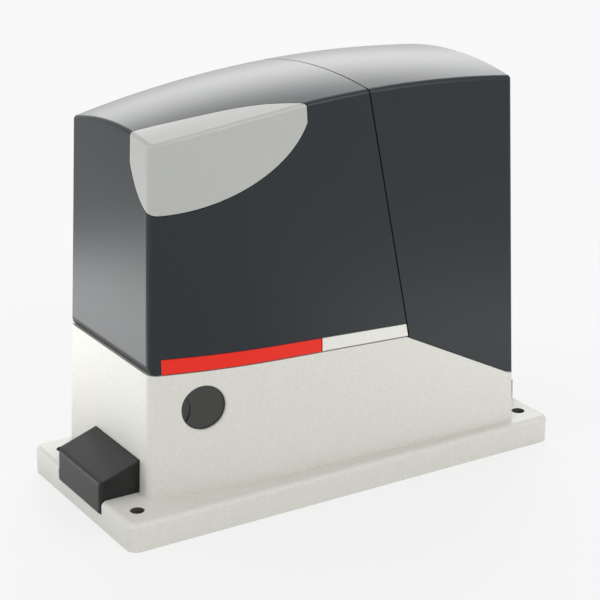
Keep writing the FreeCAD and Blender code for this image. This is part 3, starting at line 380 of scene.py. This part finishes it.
class DressTrim(bpy.types.Operator):
    """Light satin plastic on the insert and trim strip, red on the bare label"""
    bl_idname = "gatemotor.dress_trim"
    bl_label = "Finish the insert, strip and label"

    def execute(self, context):
        finishes = context.scene.gate_motor_finishes
        light = moulded("insert_plastic", finishes.insert, roughness=0.26, grain=1100.0,
                        depth=0.000006)
        red = moulded("label_red", finishes.label, roughness=0.38, grain=1800.0,
                      depth=0.00002, specular=0.30)
        trim = moulded("trim_plastic", finishes.trim, roughness=0.34, grain=2400.0,
                       depth=0.00002)
        give(light, "corner_insert")
        give(trim, "trim_strip")
        give(red, "red_label")
        return {"FINISHED"}


class DressAnchors(bpy.types.Operator):
    """Dark satin plastic on the anchor covers and the lock"""
    bl_idname = "gatemotor.dress_anchors"
    bl_label = "Finish the anchor covers and lock"

    def execute(self, context):
        finishes = context.scene.gate_motor_finishes
        anchor = moulded("anchor_plastic", finishes.anchor, roughness=0.30, grain=1500.0,
                         depth=0.00002, specular=0.30, edge=0.0022)
        shutter = moulded("shutter_plastic", finishes.shutter, roughness=0.22, depth=0.00002,
                          specular=0.6)
        give(anchor, "anchor_cover_left", "anchor_cover_right")
        give(shutter, "lock_shutter")
        return {"FINISHED"}


class DressDrive(bpy.types.Operator):
    """Turned, plated and cast metal on the drive"""
    bl_idname = "gatemotor.dress_drive"
    bl_label = "Finish the drive"

    def execute(self, context):
        finishes = context.scene.gate_motor_finishes
        steel = turned("turned_steel", finishes.steel, 0.34, ALONG_Y, grain=700.0)
        worm = turned("worm_steel", finishes.steel, 0.28, ALONG_Z, grain=700.0)
        bronze = turned("wheel_bronze", finishes.bronze, 0.34, (1.0, 0.08, 1.0), grain=600.0)
        zinc = turned("zinc_plate", finishes.zinc, 0.40, NEUTRAL_GRAIN, grain=260.0)
        black = cast("blackened_steel", finishes.screw_iron_and_hole_shade, 0.50, metallic=0.5, grain=1200.0)
        aluminium = cast("case_aluminium", finishes.aluminium, 0.48, metallic=1.0)
        iron = cast("dark_iron", finishes.iron, 0.52, metallic=0.6, grain=500.0)
        give(steel, "drive_pinion", "output_shaft", "clutch_slider", "release_barrel",
             "pinion_key", "output_bearings", "limit_lever", "motor_bearings")
        give(worm, "worm_shaft")
        give(bronze, "worm_wheel")
        give(zinc, "cover_screws", "pinion_washer", "pinion_screw", "gearcase_screws",
             "motor_screws", "tray_screws", "release_yoke")
        give(black, "levelling_screws")
        give(aluminium, "gearcase", "gearcase_cover", "motor_end_bell")
        give(iron, "motor_can", "motor_magnets", "rotor_core", "transformer_core")
        return {"FINISHED"}


class DressInside(bpy.types.Operator):
    """Windings, rubber, boards and moulded parts inside"""
    bl_idname = "gatemotor.dress_inside"
    bl_label = "Finish the inside"

    def execute(self, context):
        finishes = context.scene.gate_motor_finishes
        winding = Recipe("copper_winding", finishes.copper, 0.34, metallic=1.0)
        turns = winding.node("ShaderNodeTexWave", Vector=winding.place, Scale=420.0,
                             Distortion=0.6)
        turns.bands_direction = "Z"
        winding.mottle(turns.outputs["Fac"], spread=0.25)
        winding.relief(turns.outputs["Fac"], depth=0.0003, strength=0.8)
        rubber = moulded("black_rubber", finishes.rubber, roughness=0.62, grain=900.0,
                         depth=0.00010)
        board = moulded("board_green", finishes.board, roughness=0.30, grain=500.0,
                        specular=0.7)
        terminal = moulded("terminal_green", finishes.terminal, roughness=0.42)
        inner = moulded("inner_plastic", finishes.inner, roughness=0.48, grain=1400.0,
                        depth=0.00006)
        red = moulded("stop_red", finishes.label, roughness=0.40)
        black = moulded("black_parts", finishes.black, roughness=0.40, grain=1600.0,
                        depth=0.00005)
        give(winding.material, "transformer_coil", "commutator")
        give(rubber, "shaft_seal", "cable_grommet")
        give(board, "control_board", "radio_card")
        give(terminal, "terminal_blocks")
        give(inner, "control_tray", "lock_plate", "button_open", "button_close")
        give(red, "button_stop")
        give(black, "relays", "capacitors", "button_housings", "brush_gear", "limit_switch")
        return {"FINISHED"}


class LimitSpring(bpy.types.Operator):
    """Coil spring up the limit lever, wound round its rod"""
    bl_idname = "gatemotor.limit_spring"
    bl_label = "Wind the lever's spring"

    def execute(self, context):
        sizes = context.scene.gate_motor_sizes
        finishes = context.scene.gate_motor_finishes
        low, high = (Vector(corner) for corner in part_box("limit_lever"))
        centre = (low + high) / 2
        start = Vector((centre.x + sizes.spring_radius, centre.y, low.z + sizes.spring_foot))
        wire = bmesh.new()
        bmesh.ops.create_circle(
            wire, segments=WIRE_FACETS, radius=sizes.spring_wire,
            matrix=Matrix.Translation(start) @ Matrix.Rotation(math.pi / 2, 4, "X"))
        bmesh.ops.spin(
            wire, geom=wire.edges[:], cent=centre, axis=(0, 0, 1),
            dvec=(0, 0, sizes.spring_pitch / STEPS_PER_TURN),
            angle=2 * math.pi * sizes.spring_turns, steps=STEPS_PER_TURN * sizes.spring_turns,
            use_duplicate=False)
        ends = [edge for edge in wire.edges if edge.is_boundary]
        bmesh.ops.holes_fill(wire, edges=ends, sides=WIRE_FACETS)
        metal = turned("spring_steel", finishes.steel, 0.30, NEUTRAL_GRAIN, grain=500.0)
        piece_from(wire, "limit_spring", metal, "lever")
        return {"FINISHED"}


class Studio(bpy.types.Operator):
    """Pale floor, soft lights and the camera"""
    bl_idname = "gatemotor.studio"
    bl_label = "Set the stage"

    def paper(self, studio):
        """Pale paper that keeps the shadow near the motor and is plain white further out."""
        recipe = Recipe("studio_floor", (0.90, 0.90, 0.90), 0.8)
        recipe.mottle(recipe.noise(3.0, detail=1.0), spread=0.004)
        away = recipe.tree.nodes.new("ShaderNodeVectorMath")
        away.operation = "LENGTH"
        recipe.tree.links.new(recipe.place, away.inputs[0])
        fade = recipe.node("ShaderNodeMapRange", Value=away.outputs["Value"],
                           From_Min=studio.shadow_reach,
                           From_Max=studio.shadow_reach * studio.shadow_fade,
                           To_Min=studio.floor_glow, To_Max=1.0)
        share = recipe.maths("MULTIPLY", fade.outputs["Result"], seen_directly(recipe.tree))
        glow = recipe.node("ShaderNodeEmission", Color=(0.945, 0.945, 0.945, 1.0), Strength=1.0)
        blend = recipe.tree.nodes.new("ShaderNodeMixShader")
        recipe.tree.links.new(share, blend.inputs["Fac"])
        recipe.tree.links.new(recipe.shader.outputs["BSDF"], blend.inputs[1])
        recipe.tree.links.new(glow.outputs["Emission"], blend.inputs[2])
        output = recipe.tree.nodes["Material Output"]
        recipe.tree.links.new(blend.outputs["Shader"], output.inputs["Surface"])
        return recipe.material

    def floor(self, scene, studio):
        """A large square of paper under the motor."""
        grid = bmesh.new()
        bmesh.ops.create_grid(grid, x_segments=1, y_segments=1, size=studio.floor_reach,
                              matrix=Matrix.Translation((0.0, 0.0, cad_box[0][2])))
        mesh = bpy.data.meshes.new("studio_floor")
        grid.to_mesh(mesh)
        grid.free()
        ground = bpy.data.objects.new("studio_floor", mesh)
        scene.collection.objects.link(ground)
        mesh.materials.append(self.paper(studio))

    def room(self, scene, studio):
        """White where it is seen or mirrored, dimmer where it only lights the motor."""
        scene.world = bpy.data.worlds.new("studio")
        scene.world.use_nodes = True
        tree = scene.world.node_tree
        surface = tree.nodes["Background"]
        surface.inputs["Color"].default_value = (1.0, 1.0, 1.0, 1.0)
        level = tree.nodes.new("ShaderNodeMapRange")
        level.inputs["To Min"].default_value = studio.world_level
        level.inputs["To Max"].default_value = 1.0
        tree.links.new(seen_directly(tree), level.inputs["Value"])
        tree.links.new(level.outputs["Result"], surface.inputs["Strength"])

    def soft_light(self, scene, name, place, size, power, aim=None):
        """A soft rectangle that looks at its aim, or straight up from the floor."""
        lamp = bpy.data.lights.new(name, "AREA")
        lamp.shape = "RECTANGLE"
        lamp.size, lamp.size_y = size
        lamp.energy = power
        rig = bpy.data.objects.new(name, lamp)
        rig.visible_camera = False
        turn = Matrix.Rotation(math.pi, 4, "X")
        if aim:
            heading = Vector(aim) - Vector(place)
            turn = heading.to_track_quat("-Z", "Y").to_matrix().to_4x4()
        rig.matrix_world = Matrix.Translation(place) @ turn
        scene.collection.objects.link(rig)

    def camera(self, scene, studio):
        view = bpy.data.cameras.new("view")
        view.sensor_width = 36.0
        view.lens = studio.lens
        view.clip_start = 0.05
        view.clip_end = 50.0
        yaw, pitch = math.radians(-31.8), math.radians(-19.6)
        heading = Vector((-math.sin(yaw) * math.cos(pitch), math.cos(yaw) * math.cos(pitch),
                          math.sin(pitch)))
        rig = bpy.data.objects.new("view", view)
        rig.matrix_world = (Matrix.Translation((-0.6009, -0.9741, 0.5216))
                            @ heading.to_track_quat("-Z", "Y").to_matrix().to_4x4())
        scene.collection.objects.link(rig)
        scene.camera = rig

    def execute(self, context):
        scene = context.scene
        studio = scene.gate_motor_studio
        scene.view_settings.view_transform = "Standard"
        self.floor(scene, studio)
        self.room(scene, studio)
        middle, crown = (0.0, 0.0, 0.13), (0.05, 0.0, 0.27)
        for light in (
                ("left_light", (-1.30, 0.05, 0.60), (0.9, 0.9), studio.key, middle),
                ("front_light", (0.35, -1.60, 0.90), (1.2, 0.9), studio.front, middle),
                ("top_light", (0.10, 0.35, 1.30), (1.2, 1.0), studio.top, middle),
                ("back_light", (0.95, 1.55, 0.92), (1.7, 0.8), studio.back, crown),
                ("bounce_light", (-0.345, 0.29, 0.003), (0.22, 0.46), studio.bounce),
                ("front_bounce", (0.25, -0.30, 0.003), (0.24, 0.24), studio.front_bounce)):
            self.soft_light(scene, *light)
        self.camera(scene, studio)
        return {"FINISHED"}


steps = (PaintBase, DressCovers, DressTrim, DressAnchors, DressDrive, DressInside, LimitSpring,
         Studio)


class GateMotorPanel(bpy.types.Panel):
    """Lists the steps that finish the gate motor"""
    bl_idname = "GATEMOTOR_PT_steps"
    bl_label = "Sliding Gate Motor"
    bl_space_type = "VIEW_3D"
    bl_region_type = "UI"
    bl_category = "Gate Motor"

    def draw(self, context):
        column = self.layout.column()
        for step in steps:
            column.operator(step.bl_idname)
        for group in (context.scene.gate_motor_finishes, context.scene.gate_motor_sizes,
                      context.scene.gate_motor_studio):
            box = self.layout.box()
            for name in group.__annotations__:
                box.prop(group, name)


classes = (GateMotorFinishes, GateMotorSizes, GateMotorStudio, *steps, GateMotorPanel)


def register():
    for item in classes:
        bpy.utils.register_class(item)
    bpy.types.Scene.gate_motor_finishes = bpy.props.PointerProperty(type=GateMotorFinishes)
    bpy.types.Scene.gate_motor_sizes = bpy.props.PointerProperty(type=GateMotorSizes)
    bpy.types.Scene.gate_motor_studio = bpy.props.PointerProperty(type=GateMotorStudio)


def unregister():
    del bpy.types.Scene.gate_motor_studio
    del bpy.types.Scene.gate_motor_sizes
    del bpy.types.Scene.gate_motor_finishes
    for item in reversed(classes):
        bpy.utils.unregister_class(item)


def main():
    register()
    for step in steps:
        group, name = step.bl_idname.split(".")
        getattr(getattr(bpy.ops, group), name)()


if __name__ == "__main__":
    main()
